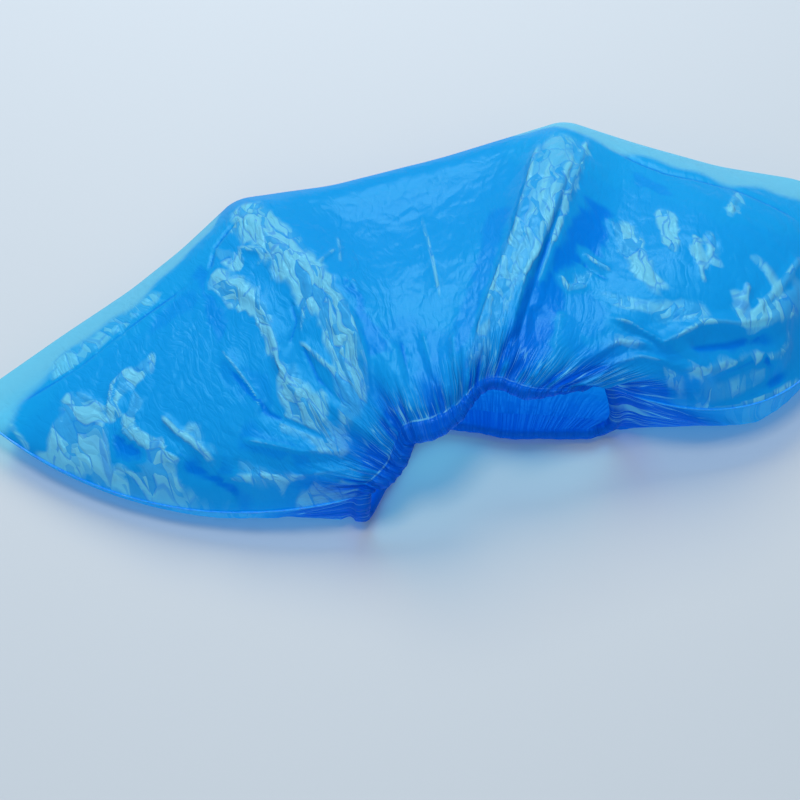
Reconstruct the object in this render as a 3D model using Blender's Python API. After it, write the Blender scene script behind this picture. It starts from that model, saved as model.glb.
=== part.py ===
"""A disposable shoe cover of thin blue film, lying on its side as it does out of the packet.

The cover is a bag of film with a gathered mouth. Its long sole fold runs along the far side,
its toe and heel ends are hot-cut welds, and the mouth's edge is turned in over an elastic.
Lengths are in metres. X runs from the toe end to the heel end, Y from the mouth to the sole
fold, Z up from the table that the cover lies on.
"""

import math

import bmesh
import bpy
from mathutils import Vector

# Sizes of the cover as it lies, which the tables below give shares of.
COVER_LENGTH = 0.344
COVER_DEPTH = 0.178
PUFF_HEIGHT = 0.042

# Sizes of the film, its hem and its elastic.
FILM_WALL = 0.001
HEM_DEPTH = 0.008
ELASTIC_THICKNESS = 0.0016
WELD_THICKNESS = 0.0014
SEAT_GAP = 0.0003

# Sizes of the folds.
GATHER_DEPTH = 0.0013
GATHERS_EACH_SIDE = 14
EDGE_ROUNDING = 0.018
CREASE_HEIGHT = 0.0022
DENT_DEPTH = 0.0030

# How the film turns over at its edges. Shares along a side run from the toe weld to the heel
# weld, and shares down run from the sole fold to the mouth.
END_SHARE = 0.06
TOP_EDGE_POWER = 2.0
UNDER_EDGE_POWER = 3.0
SOLE_PUFF = 0.18
LIP_SHARE = 0.90
LIP_PUFF = 0.10
GATHER_REACH = 0.38
BELLY_REACH = 3.0
CORNER_ROUNDING = 0.012
FOLD_START = 0.1
QUIET_SHARE = 0.06

# How far the weld beads run down the ends.
WELD_START = 0.03
WELD_END = 0.93

# How finely the film, the turned hem, the elastic and the beads are divided.
COLUMNS_EACH_SIDE = 60
COLUMNS_AT_AN_END = 5
TURN_STEPS = 4
ELASTIC_SIDES = 6
WELD_STEPS = 24
SMALL_STEP = 1e-3
MERGE_DISTANCE = 1e-6
ROWS_DOWN = (0.0, 0.012, 0.04, 0.085, 0.15, 0.24, 0.34, 0.45, 0.56, 0.66, 0.75, 0.83, 0.895)

# The sole fold, from the toe corner to the heel corner. The two corners between are where the
# cover was folded in three for its packet.
SOLE = (
    # along, x, y
    (0.000, -0.500, -0.242),
    (0.100, -0.409, -0.080),
    (0.180, -0.340, 0.036),
    (0.245, -0.289, 0.140),
    (0.325, -0.234, 0.274),
    (0.420, -0.126, 0.310),
    (0.530, -0.001, 0.387),
    (0.596, 0.069, 0.440),
    (0.667, 0.145, 0.498),
    (0.747, 0.230, 0.428),
    (0.829, 0.318, 0.366),
    (0.907, 0.407, 0.330),
    (1.000, 0.500, 0.215),
)

# The mouth's edge: along the top film from the toe weld to the heel weld, then back along the
# under film, which is drawn back from the top one.
MOUTH = (
    # around, x, y, z
    (0.00, -0.080, -0.470, 0.42),
    (0.09, -0.066, -0.462, 0.52),
    (0.18, -0.052, -0.446, 0.62),
    (0.26, -0.045, -0.422, 0.73),
    (0.33, -0.038, -0.402, 0.83),
    (0.42, -0.012, -0.396, 0.90),
    (0.50, 0.009, -0.366, 0.94),
    (0.57, 0.024, -0.326, 0.96),
    (0.63, 0.036, -0.302, 0.97),
    (0.69, 0.052, -0.296, 0.96),
    (0.77, 0.081, -0.312, 0.92),
    (0.88, 0.120, -0.296, 0.83),
    (0.95, 0.150, -0.270, 0.74),
    (1.00, 0.164, -0.256, 0.62),
    (1.03, 0.172, -0.266, 0.45),
    (1.06, 0.177, -0.275, 0.28),
    (1.09, 0.175, -0.281, 0.13),
    (1.13, 0.162, -0.284, 0.05),
    (1.19, 0.137, -0.285, 0.04),
    (1.27, 0.103, -0.285, 0.04),
    (1.36, 0.066, -0.283, 0.04),
    (1.45, 0.031, -0.270, 0.04),
    (1.54, -0.002, -0.262, 0.04),
    (1.63, -0.028, -0.280, 0.04),
    (1.71, -0.044, -0.320, 0.04),
    (1.79, -0.057, -0.372, 0.04),
    (1.86, -0.071, -0.424, 0.04),
    (1.90, -0.080, -0.464, 0.05),
    (1.94, -0.084, -0.487, 0.12),
    (1.97, -0.083, -0.483, 0.27),
    (2.00, -0.080, -0.470, 0.42),
)

# How far the lines from the sole fold to the mouth bow towards the nearer end, and how much
# more they do so near the mouth.
BOW = (
    # along, bow, skew
    (0.00, 0.105, 0.0),
    (0.12, 0.060, 0.0),
    (0.33, -0.010, 0.0),
    (0.50, 0.000, 0.0),
    (0.67, 0.005, 0.0),
    (0.88, 0.110, 0.3),
    (1.00, 0.185, 0.5),
)

# How far the under film bellies out past each weld, before it turns under to the table.
BELLY = (
    # down, toe, heel
    (0.00, 0.000, 0.000),
    (0.30, 0.010, 0.015),
    (0.60, 0.006, 0.030),
    (0.85, 0.004, 0.046),
    (1.00, 0.000, 0.000),
)

# The height of the top film over the table, from the sole fold to the mouth.
CROWN = (
    # along, quarter, half, three_quarters
    (0.00, 0.40, 0.42, 0.44),
    (0.10, 0.50, 0.60, 0.62),
    (0.21, 0.60, 0.72, 0.76),
    (0.33, 0.72, 0.88, 0.92),
    (0.42, 0.58, 0.80, 0.94),
    (0.52, 0.58, 0.80, 0.97),
    (0.61, 0.64, 0.86, 0.99),
    (0.67, 0.80, 0.99, 1.00),
    (0.74, 0.64, 0.80, 0.93),
    (0.83, 0.78, 0.94, 0.95),
    (0.93, 0.68, 0.84, 0.86),
    (1.00, 0.40, 0.44, 0.50),
)

# The height of each weld, where the top and the under film meet.
WELD_HEIGHTS = (
    # down, toe, heel
    (0.00, 0.26, 0.31),
    (0.30, 0.22, 0.36),
    (0.60, 0.22, 0.42),
    (0.85, 0.31, 0.50),
    (1.00, 0.42, 0.62),
)

# The main creases and dents. Each runs from one place to another, with its width as a share
# of the cover's depth. Height is in crease heights, and below nought in dent depths.
FOLDS = (
    # side, along, down, to_along, to_down, width, height
    ("top", 0.330, 0.02, 0.335, 0.92, 0.085, 1.0),
    ("top", 0.290, 0.16, 0.300, 0.70, 0.057, 0.7),
    ("top", 0.665, 0.02, 0.660, 0.90, 0.067, 1.0),
    ("top", 0.735, 0.10, 0.720, 0.85, 0.114, -1.0),
    ("top", 0.130, 0.35, 0.220, 0.72, 0.095, -0.7),
    ("top", 0.050, 0.30, 0.100, 0.80, 0.057, 0.6),
    ("top", 0.900, 0.60, 0.985, 0.55, 0.076, -0.9),
    ("top", 0.820, 0.62, 0.900, 0.86, 0.057, 0.7),
    ("top", 0.450, 0.30, 0.520, 0.70, 0.114, -0.5),
    ("top", 0.780, 0.30, 0.800, 0.60, 0.067, 0.6),
    ("under", 0.330, 0.10, 0.340, 0.80, 0.076, -0.7),
    ("under", 0.665, 0.10, 0.650, 0.80, 0.076, -0.7),
    ("under", 0.150, 0.30, 0.210, 0.75, 0.076, -0.5),
    ("under", 0.850, 0.30, 0.800, 0.75, 0.076, -0.5),
)


def straight(table, column, share):
    """A table's column at a share along it, on straight lines between its rows."""
    for first, second in zip(table, table[1:]):
        if share <= second[0]:
            break
    part = (share - first[0]) / (second[0] - first[0])
    return first[column] + (second[column] - first[column]) * part


def rounded(table, column, share):
    """The same straight lines, with their corners rounded off a little."""
    reach = min(CORNER_ROUNDING, share, 1.0 - share)
    places = (share - reach, share - reach / 2, share, share + reach / 2, share + reach)
    return sum(straight(table, column, place) for place in places) / len(places)


def through(points, share):
    """A smooth line through (share, value) points, read at a share."""
    last = len(points) - 1
    spot = 0
    while spot < last - 1 and share > points[spot + 1][0]:
        spot += 1
    (x1, y1), (x2, y2) = points[spot], points[spot + 1]
    x0, y0 = points[max(spot - 1, 0)]
    x3, y3 = points[min(spot + 2, last)]
    slope_in = (y2 - y0) / (x2 - x0)
    slope_out = (y3 - y1) / (x3 - x1)
    width = x2 - x1
    part = (share - x1) / width
    return (
        (2 * part**3 - 3 * part**2 + 1) * y1
        + (part**3 - 2 * part**2 + part) * width * slope_in
        + (3 * part**2 - 2 * part**3) * y2
        + (part**3 - part**2) * width * slope_out
    )


def smooth(table, column, share):
    """A table's column at a share along it, on a smooth line through its rows."""
    return through([(row[0], row[column]) for row in table], share)


def round_the_mouth(column, around):
    """The mouth table's column, on a smooth line that closes on itself."""
    before = [(row[0] - 2.0, row[column]) for row in MOUTH[-4:-1]]
    inside = [(row[0], row[column]) for row in MOUTH[:-1]]
    after = [(row[0] + 2.0, row[column]) for row in MOUTH[:4]]
    return through(before + inside + after, around % 2.0)


def ease(share):
    """Nought to one with level ends."""
    share = min(max(share, 0.0), 1.0)
    return share * share * (3 - 2 * share)


def gathered(down):
    """How far the gathers have begun: nought away from the mouth, one at it."""
    return ease((down - 1.0 + GATHER_REACH) / GATHER_REACH)


def swell(share, width, power):
    """How far the film has swelled from an edge: nought at the edge, one past the width."""
    inner = max(0.0, 1.0 - share / width)
    return (1.0 - inner**power) ** (1.0 / power)


def end_distance(along):
    """How far a place is from the nearer end, in ends' widths."""
    return min(along, 1.0 - along) / END_SHARE


def hump(distance):
    """Nought at an end, one an end's width in from it, and nought again farther in."""
    part = min(distance / BELLY_REACH, 1.0)
    highest = 1.0 / BELLY_REACH * (1.0 - 1.0 / BELLY_REACH) ** 2
    return part * (1.0 - part) ** 2 / highest


def sole_point(along):
    """The sole fold in plan."""
    return Vector(
        (
            rounded(SOLE, 1, along) * COVER_LENGTH,
            rounded(SOLE, 2, along) * COVER_DEPTH,
        )
    )


def mouth_point(around):
    """The mouth's edge, in space."""
    return Vector(
        (
            round_the_mouth(1, around) * COVER_LENGTH,
            round_the_mouth(2, around) * COVER_DEPTH,
            round_the_mouth(3, around) * PUFF_HEIGHT,
        )
    )


def plan_point(around, along, down):
    """A place on the film in plan: along the sole fold, and down from it to the mouth."""
    sole = sole_point(along)
    across = mouth_point(around).xy - sole
    to_end = Vector((-across.y, across.x)).normalized() * (-1 if along < 0.5 else 1)
    lean = 1.0 + smooth(BOW, 2, along) * (2 * down - 1)
    bow = smooth(BOW, 1, along) * 4 * down * (1 - down) * lean
    if around > 1.0:
        bow += smooth(BELLY, 1 if along < 0.5 else 2, down) * hump(end_distance(along))
    return sole + across * down + to_end * bow * COVER_DEPTH


def weld_height(along, down):
    """The height at which the two films meet, blended from the two welds."""
    toe = smooth(WELD_HEIGHTS, 1, down)
    heel = smooth(WELD_HEIGHTS, 2, down)
    return (toe + (heel - toe) * along) * PUFF_HEIGHT


def top_height(along, down, mouth):
    """The height of the top film, away from its edges."""
    middle = math.sin(math.pi * along)
    points = (
        (0.00, weld_height(along, 0.0) / PUFF_HEIGHT + SOLE_PUFF * middle),
        (0.25, smooth(CROWN, 1, along)),
        (0.50, smooth(CROWN, 2, along)),
        (0.75, smooth(CROWN, 3, along)),
        (LIP_SHARE, mouth / PUFF_HEIGHT + LIP_PUFF * middle),
        (1.00, mouth / PUFF_HEIGHT),
    )
    return through(points, down) * PUFF_HEIGHT


def under_height(down, mouth):
    """The height of the under film, which lies on the table up to the gathers."""
    return mouth * gathered(down)


def film_point(around, down):
    """A place on the film. Around runs 0 to 1 along the top film and back 1 to 2 underneath."""
    around %= 2.0
    on_top = around <= 1.0
    along = around if on_top else 2.0 - around
    power = TOP_EDGE_POWER if on_top else UNDER_EDGE_POWER
    edge = EDGE_ROUNDING / COVER_DEPTH
    end_rise = swell(end_distance(along), 1.0, power)
    mouth = mouth_point(around).z
    level = weld_height(along, down)
    height = top_height(along, down, mouth) if on_top else under_height(down, mouth)
    height = level + (height - level) * end_rise * swell(down, edge, power)
    last = weld_height(along, 1.0)
    to_mouth = mouth - (last + (mouth - last) * end_rise)
    height += to_mouth * gathered(down)
    plan = plan_point(around, along, down)
    return Vector((plan.x, plan.y, height))


def film_normal(around, down):
    """The direction out of the bag at a place on the film."""
    start = min(max(down - SMALL_STEP, SMALL_STEP), 1.0 - 2 * SMALL_STEP)
    here = max(down, SMALL_STEP)
    along = film_point(around + SMALL_STEP, here) - film_point(around - SMALL_STEP, here)
    onward = film_point(around, start + 2 * SMALL_STEP) - film_point(around, start)
    return onward.cross(along).normalized()


def fold_share(row, along, down):
    """How strongly a fold shows at a place, from nought to one."""
    _, start_along, start_down, end_along, end_down, width, _ = row
    start = Vector((start_along * COVER_LENGTH, start_down * COVER_DEPTH))
    end = Vector((end_along * COVER_LENGTH, end_down * COVER_DEPTH))
    place = Vector((along * COVER_LENGTH, down * COVER_DEPTH))
    line = end - start
    part = min(max((place - start).dot(line) / line.length_squared, 0.0), 1.0)
    away = (place - start - line * part).length / (width * COVER_DEPTH)
    fading = math.sin(math.pi * (FOLD_START + (1.0 - 2 * FOLD_START) * part))
    return max(0.0, 1.0 - away * away) ** 2 * fading


def relief(around, down):
    """How far the creases, dents and gathers move the film out of the bag."""
    on_top = around <= 1.0
    along = around if on_top else 2.0 - around
    side = "top" if on_top else "under"
    quiet = ease(end_distance(along)) * ease(down / QUIET_SHARE)
    moved = 0.0
    for row in FOLDS:
        if row[0] == side:
            size = CREASE_HEIGHT if row[6] > 0 else DENT_DEPTH
            moved += size * row[6] * fold_share(row, along, down) * quiet
    strength = gathered(down) ** 2
    wave = 0.5 - 0.5 * math.cos(2 * math.pi * GATHERS_EACH_SIDE * along)
    return moved * (1.0 - strength) + GATHER_DEPTH * strength * wave


def columns():
    """The places round the film: closer together at each end than along the middle."""
    end = [
        END_SHARE * (1 - math.cos(math.pi / 2 * i / COLUMNS_AT_AN_END))
        for i in range(COLUMNS_AT_AN_END)
    ]
    middle = COLUMNS_EACH_SIDE - 2 * COLUMNS_AT_AN_END
    inner = [END_SHARE + (1 - 2 * END_SHARE) * i / middle for i in range(middle + 1)]
    one_side = end + inner + [1.0 - share for share in reversed(end)]
    return one_side + [2.0 - share for share in reversed(one_side[:-1])]


def hem_radius():
    """The outer radius of the turn of film round the elastic."""
    return FILM_WALL + SEAT_GAP + ELASTIC_THICKNESS / 2


def hem_share():
    """The hem's depth as a share of the way down the film."""
    return HEM_DEPTH / COVER_DEPTH


def elastic_centre(around):
    """The middle of the elastic, inside the turn of the hem."""
    return film_point(around, 1.0) - film_normal(around, 1.0) * hem_radius()


def hem_point(around, turn, radius):
    """A place round the elastic, by its angle from the outer film and distance from the middle."""
    outward = film_normal(around, 1.0)
    along = mouth_point(around + SMALL_STEP) - mouth_point(around - SMALL_STEP)
    onward = along.cross(outward).normalized()
    way = outward * math.cos(turn) + onward * math.sin(turn)
    return elastic_centre(around) + way * radius


def turned_film(around, turn):
    """The film round the elastic, puffed out where it is gathered."""
    puff = relief(around, 1.0) * math.cos(turn / 2) ** 2
    return hem_point(around, turn, hem_radius() + puff)


def puffed_film(around, down):
    """The film with its creases, dents and gathers."""
    return film_point(around, down) + film_normal(around, down) * relief(around, down)


def film_rows():
    """Each row of the film from the sole fold to the free edge of the turned-in hem."""
    hem = hem_share()
    downs = ROWS_DOWN + (1.0 - hem, 1.0 - hem / 2, 1.0)
    rows = [lambda a, d=d: puffed_film(a, d) for d in downs]
    turns = [math.pi * i / TURN_STEPS for i in range(1, TURN_STEPS + 1)]
    rows += [lambda a, t=t: turned_film(a, t) for t in turns]
    inside = 2 * hem_radius()
    rows.append(lambda a: film_point(a, 1.0 - hem) - film_normal(a, 1.0 - hem) * inside)
    return rows


def material(name, colour, roughness):
    """A plain glossy or matt finish."""
    made = bpy.data.materials.new(name)
    made.use_nodes = True
    shader = made.node_tree.nodes["Principled BSDF"]
    shader.inputs["Base Color"].default_value = (*colour, 1.0)
    shader.inputs["Roughness"].default_value = roughness
    shader.inputs["Metallic"].default_value = 0.0
    return made


def grid_object(name, places, rows, finish):
    """A grid of film or elastic, bent to a place for each of its columns and rows."""
    mesh = bmesh.new()
    across, down = len(places) - 1, len(rows) - 1
    bmesh.ops.create_grid(mesh, x_segments=across, y_segments=down, size=0.5)
    for vertex in mesh.verts:
        place = places[round((vertex.co.x + 0.5) * across)]
        row = rows[round((vertex.co.y + 0.5) * down)]
        vertex.co = row(place)
    bmesh.ops.remove_doubles(mesh, verts=mesh.verts, dist=MERGE_DISTANCE)
    bmesh.ops.recalc_face_normals(mesh, faces=mesh.faces)
    data = bpy.data.meshes.new(name)
    mesh.to_mesh(data)
    mesh.free()
    data.materials.append(finish)
    data.shade_smooth()
    made = bpy.data.objects.new(name, data)
    bpy.context.scene.collection.objects.link(made)
    return made


def film_bag(finish):
    """The bag: one grid of film turned in round the mouth, its edges met at the sole fold and
    at both ends, and given its wall."""
    made = grid_object("film_bag", columns(), film_rows(), finish)
    wall = made.modifiers.new("wall", "SOLIDIFY")
    wall.thickness = FILM_WALL
    wall.offset = -1.0
    wall.use_rim = True


def elastic_band(finish):
    """The elastic, a closed round strand inside the turn of the hem."""
    radius = ELASTIC_THICKNESS / 2
    turns = [2 * math.pi * i / ELASTIC_SIDES for i in range(ELASTIC_SIDES + 1)]
    rows = [lambda a, t=t: hem_point(a, t, radius) for t in turns]
    grid_object("elastic_band", columns(), rows, finish)


def weld_bead(name, around, finish):
    """The hot-cut bead that closes one end, just outside the film."""
    lift = SEAT_GAP + WELD_THICKNESS / 2
    shares = [WELD_START + (WELD_END - WELD_START) * i / WELD_STEPS for i in range(WELD_STEPS + 1)]
    curve = bpy.data.curves.new(name, "CURVE")
    curve.dimensions = "3D"
    curve.bevel_depth = WELD_THICKNESS / 2
    curve.bevel_resolution = 1
    curve.use_fill_caps = True
    line = curve.splines.new("POLY")
    line.points.add(WELD_STEPS)
    for spot, down in zip(line.points, shares):
        spot.co = (*(film_point(around, down) + film_normal(around, down) * lift), 1.0)
    curve.materials.append(finish)
    bpy.context.scene.collection.objects.link(bpy.data.objects.new(name, curve))


def stand_on_origin():
    """Moves the cover so that the origin is under the middle of its box, on the table."""
    made = bpy.context.evaluated_depsgraph_get()
    spots = [
        spot.co.copy()
        for thing in bpy.data.objects
        for spot in thing.evaluated_get(made).to_mesh().vertices
    ]
    low = Vector([min(spot[axis] for spot in spots) for axis in range(3)])
    high = Vector([max(spot[axis] for spot in spots) for axis in range(3)])
    for thing in bpy.data.objects:
        thing.location = (-(low.x + high.x) / 2, -(low.y + high.y) / 2, -low.z)


def clear_scene():
    """Removes what the file opened with."""
    for thing in list(bpy.data.objects):
        bpy.data.objects.remove(thing, do_unlink=True)


def build():
    clear_scene()
    film = material("blue_film", (0.02, 0.36, 0.80), 0.25)
    rubber = material("elastic", (0.01, 0.10, 0.45), 0.55)
    weld = material("weld", (0.01, 0.20, 0.62), 0.35)
    film_bag(film)
    elastic_band(rubber)
    weld_bead("toe_weld", 0.0, weld)
    weld_bead("heel_weld", 1.0, weld)
    stand_on_origin()


build()
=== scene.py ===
import math

import bmesh
import bpy
import numpy as np
from bpy.props import FloatProperty, FloatVectorProperty, IntProperty, PointerProperty
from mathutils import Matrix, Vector, noise


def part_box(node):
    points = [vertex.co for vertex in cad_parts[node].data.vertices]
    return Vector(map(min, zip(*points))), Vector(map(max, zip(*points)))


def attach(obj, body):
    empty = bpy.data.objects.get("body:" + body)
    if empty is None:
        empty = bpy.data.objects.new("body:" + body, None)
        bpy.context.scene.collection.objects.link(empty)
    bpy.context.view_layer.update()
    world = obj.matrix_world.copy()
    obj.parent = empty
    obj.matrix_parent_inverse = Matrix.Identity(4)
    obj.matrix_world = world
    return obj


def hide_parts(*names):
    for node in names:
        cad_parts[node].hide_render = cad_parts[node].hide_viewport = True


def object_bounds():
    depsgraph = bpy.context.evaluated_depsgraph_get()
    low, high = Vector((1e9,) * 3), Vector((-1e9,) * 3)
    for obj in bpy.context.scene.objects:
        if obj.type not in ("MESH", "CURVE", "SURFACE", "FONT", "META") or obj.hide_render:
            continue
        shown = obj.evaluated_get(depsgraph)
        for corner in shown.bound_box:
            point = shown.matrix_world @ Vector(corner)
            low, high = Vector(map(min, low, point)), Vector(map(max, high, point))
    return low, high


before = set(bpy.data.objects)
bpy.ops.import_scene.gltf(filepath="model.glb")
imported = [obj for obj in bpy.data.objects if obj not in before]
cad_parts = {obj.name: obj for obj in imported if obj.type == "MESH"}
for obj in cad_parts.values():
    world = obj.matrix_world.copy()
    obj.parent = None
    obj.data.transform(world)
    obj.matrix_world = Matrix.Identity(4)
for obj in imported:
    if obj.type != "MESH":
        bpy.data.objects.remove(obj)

bl_info = {
    "name": "Film shoe cover",
    "version": (1, 0, 0),
    "blender": (4, 5, 0),
    "location": "View3D > Sidebar > Shoe Cover",
    "description": "Builds a puffed film shoe cover with a gathered elastic mouth",
    "category": "Add Mesh",
}

CAD_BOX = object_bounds()
BAG_LOW, BAG_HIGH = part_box("film_bag")

# The cover as it lies, in metres. The tables below give shares of these three.
COVER_LENGTH = BAG_HIGH.x - BAG_LOW.x
COVER_DEPTH = 0.178
PUFF_HEIGHT = 0.042
STOOD_OVER = 0.0008

# The film before it was gathered, one side of it.
FLAT_LENGTH = 0.400
FLAT_DEPTH = 0.150

# How the film turns over at its edges.
EDGE_ROUNDING = 0.018
END_SHARE = 0.06
TOP_EDGE_POWER = 2.0
UNDER_EDGE_POWER = 3.0
SOLE_PUFF = 0.18
LIP_SHARE = 0.90
LIP_PUFF = 0.10
GATHER_REACH = 0.38
BELLY_REACH = 3.0
CORNER_ROUNDING = 0.012
HEM_SHARE = 0.008 / COVER_DEPTH

# A short step in shares of a side, over which the film's directions are taken.
STEP = 1e-3

SOLE = (
    # along, x, y
    (0.000, -0.500, -0.242),
    (0.100, -0.409, -0.080),
    (0.180, -0.340, 0.036),
    (0.245, -0.289, 0.140),
    (0.325, -0.234, 0.274),
    (0.420, -0.126, 0.310),
    (0.530, -0.001, 0.387),
    (0.596, 0.069, 0.440),
    (0.667, 0.145, 0.498),
    (0.747, 0.230, 0.428),
    (0.829, 0.318, 0.366),
    (0.907, 0.407, 0.330),
    (1.000, 0.500, 0.215),
)

MOUTH = (
    # around, x, y, z
    (0.00, -0.080, -0.470, 0.42),
    (0.09, -0.066, -0.462, 0.52),
    (0.18, -0.052, -0.446, 0.62),
    (0.26, -0.045, -0.422, 0.73),
    (0.33, -0.038, -0.402, 0.83),
    (0.42, -0.012, -0.396, 0.90),
    (0.50, 0.009, -0.366, 0.94),
    (0.57, 0.024, -0.326, 0.96),
    (0.63, 0.036, -0.302, 0.97),
    (0.69, 0.052, -0.296, 0.96),
    (0.77, 0.081, -0.312, 0.92),
    (0.88, 0.120, -0.296, 0.83),
    (0.95, 0.150, -0.270, 0.74),
    (1.00, 0.164, -0.256, 0.62),
    (1.03, 0.172, -0.266, 0.45),
    (1.06, 0.177, -0.275, 0.28),
    (1.09, 0.175, -0.281, 0.13),
    (1.13, 0.162, -0.284, 0.05),
    (1.19, 0.137, -0.285, 0.04),
    (1.27, 0.103, -0.285, 0.04),
    (1.36, 0.066, -0.283, 0.04),
    (1.45, 0.031, -0.270, 0.04),
    (1.54, -0.002, -0.262, 0.04),
    (1.63, -0.028, -0.280, 0.04),
    (1.71, -0.044, -0.320, 0.04),
    (1.79, -0.057, -0.372, 0.04),
    (1.86, -0.071, -0.424, 0.04),
    (1.90, -0.080, -0.464, 0.05),
    (1.94, -0.084, -0.487, 0.12),
    (1.97, -0.083, -0.483, 0.27),
    (2.00, -0.080, -0.470, 0.42),
)

BOW = (
    # along, bow, skew
    (0.00, 0.105, 0.0),
    (0.12, 0.060, 0.0),
    (0.33, -0.010, 0.0),
    (0.50, 0.000, 0.0),
    (0.67, 0.005, 0.0),
    (0.88, 0.110, 0.3),
    (1.00, 0.185, 0.5),
)

BELLY = (
    # down, toe, heel
    (0.00, 0.000, 0.000),
    (0.30, 0.010, 0.015),
    (0.60, 0.006, 0.030),
    (0.85, 0.004, 0.046),
    (1.00, 0.000, 0.000),
)

CROWN = (
    # along, quarter, half, three_quarters
    (0.00, 0.40, 0.42, 0.44),
    (0.10, 0.50, 0.60, 0.62),
    (0.21, 0.60, 0.72, 0.76),
    (0.33, 0.72, 0.88, 0.92),
    (0.42, 0.58, 0.80, 0.94),
    (0.52, 0.58, 0.80, 0.97),
    (0.61, 0.64, 0.86, 0.99),
    (0.67, 0.80, 0.99, 1.00),
    (0.74, 0.64, 0.80, 0.93),
    (0.83, 0.78, 0.94, 0.95),
    (0.93, 0.68, 0.84, 0.86),
    (1.00, 0.40, 0.44, 0.50),
)

WELD_HEIGHTS = (
    # down, toe, heel
    (0.00, 0.26, 0.31),
    (0.30, 0.22, 0.36),
    (0.60, 0.22, 0.42),
    (0.85, 0.31, 0.50),
    (1.00, 0.42, 0.62),
)


def through(places, values, share):
    """A smooth line through values at places, read at each share."""
    spot = np.clip(np.searchsorted(places, share) - 1, 0, len(places) - 2)
    before, after = np.maximum(spot - 1, 0), np.minimum(spot + 2, len(places) - 1)
    read = values if values.ndim == 2 else np.repeat(values[:, None], len(share), 1)
    here = np.arange(len(share))
    x1, x2, y1, y2 = places[spot], places[spot + 1], read[spot, here], read[spot + 1, here]
    slope_in = (y2 - read[before, here]) / (x2 - places[before])
    slope_out = (read[after, here] - y1) / (places[after] - x1)
    part, width = (share - x1) / (x2 - x1), x2 - x1
    rising = 3 * part**2 - 2 * part**3
    leaving = (part**3 - 2 * part**2 + part) * width * slope_in
    arriving = (part**3 - part**2) * width * slope_out
    return (1 - rising) * y1 + rising * y2 + leaving + arriving


def smooth(table, column, share):
    """A table's column at each share, on a smooth line through its rows."""
    rows = np.array(table)
    return through(rows[:, 0], rows[:, column], share)


def round_the_mouth(column, around):
    """The mouth table's column, on a smooth line that closes on itself."""
    rows = np.array(MOUTH)
    before, after = rows[-4:-1].copy(), rows[:4].copy()
    before[:, 0] -= 2.0
    after[:, 0] += 2.0
    rows = np.concatenate([before, rows[:-1], after])
    return through(rows[:, 0], rows[:, column], around % 2.0)


def rounded(table, column, share):
    """Straight lines through a table's rows, with their corners rounded off a little."""
    rows = np.array(table)
    reach = np.minimum(CORNER_ROUNDING, np.minimum(share, 1.0 - share))
    steps = (-1.0, -0.5, 0.0, 0.5, 1.0)
    return sum(np.interp(share + reach * s, rows[:, 0], rows[:, column]) for s in steps) / len(steps)


def ease(share):
    """Nought to one with level ends."""
    share = np.clip(share, 0.0, 1.0)
    return share * share * (3 - 2 * share)


def of_length_one(ways):
    """The same directions, each of length one."""
    return ways / np.linalg.norm(ways, axis=1)[:, None]


def gathered(down):
    """How far the gathers have begun: nought away from the mouth, one at it."""
    return ease((down - 1.0 + GATHER_REACH) / GATHER_REACH)


def swell(share, width, power):
    """How far the film has swelled from an edge: nought at the edge, one past the width."""
    return (1.0 - np.maximum(0.0, 1.0 - share / width) ** power) ** (1.0 / power)


def end_distance(along):
    """How far a place is from the nearer end, in ends' widths."""
    return np.minimum(along, 1.0 - along) / END_SHARE


def hump(distance):
    """Nought at an end, one an end's width in from it, and nought again farther in."""
    part = np.minimum(distance / BELLY_REACH, 1.0)
    highest = 1.0 / BELLY_REACH * (1.0 - 1.0 / BELLY_REACH) ** 2
    return part * (1.0 - part) ** 2 / highest


def side_share(around):
    """The share along a side, from the toe end to the heel end, on either film."""
    around = around % 2.0
    return np.where(around <= 1.0, around, 2.0 - around)


def mouth_points(around):
    """The mouth's edge, in space."""
    x = round_the_mouth(1, around) * COVER_LENGTH
    y = round_the_mouth(2, around) * COVER_DEPTH
    z = round_the_mouth(3, around) * PUFF_HEIGHT
    return np.stack([x, y, z], axis=1)


def weld_height(along, down):
    """The height at which the two films meet, blended from the two welds."""
    toe, heel = smooth(WELD_HEIGHTS, 1, down), smooth(WELD_HEIGHTS, 2, down)
    return (toe + (heel - toe) * along) * PUFF_HEIGHT


def top_height(along, down, mouth):
    """The height of the top film, away from its edges."""
    middle = np.sin(math.pi * along)
    places = np.array([0.0, 0.25, 0.5, 0.75, LIP_SHARE, 1.0])
    sole = weld_height(along, np.zeros_like(down)) / PUFF_HEIGHT + SOLE_PUFF * middle
    crown = [smooth(CROWN, column, along) for column in (1, 2, 3)]
    lip = mouth / PUFF_HEIGHT
    values = np.stack([sole, *crown, lip + LIP_PUFF * middle, lip])
    return through(places, values, down) * PUFF_HEIGHT


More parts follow.
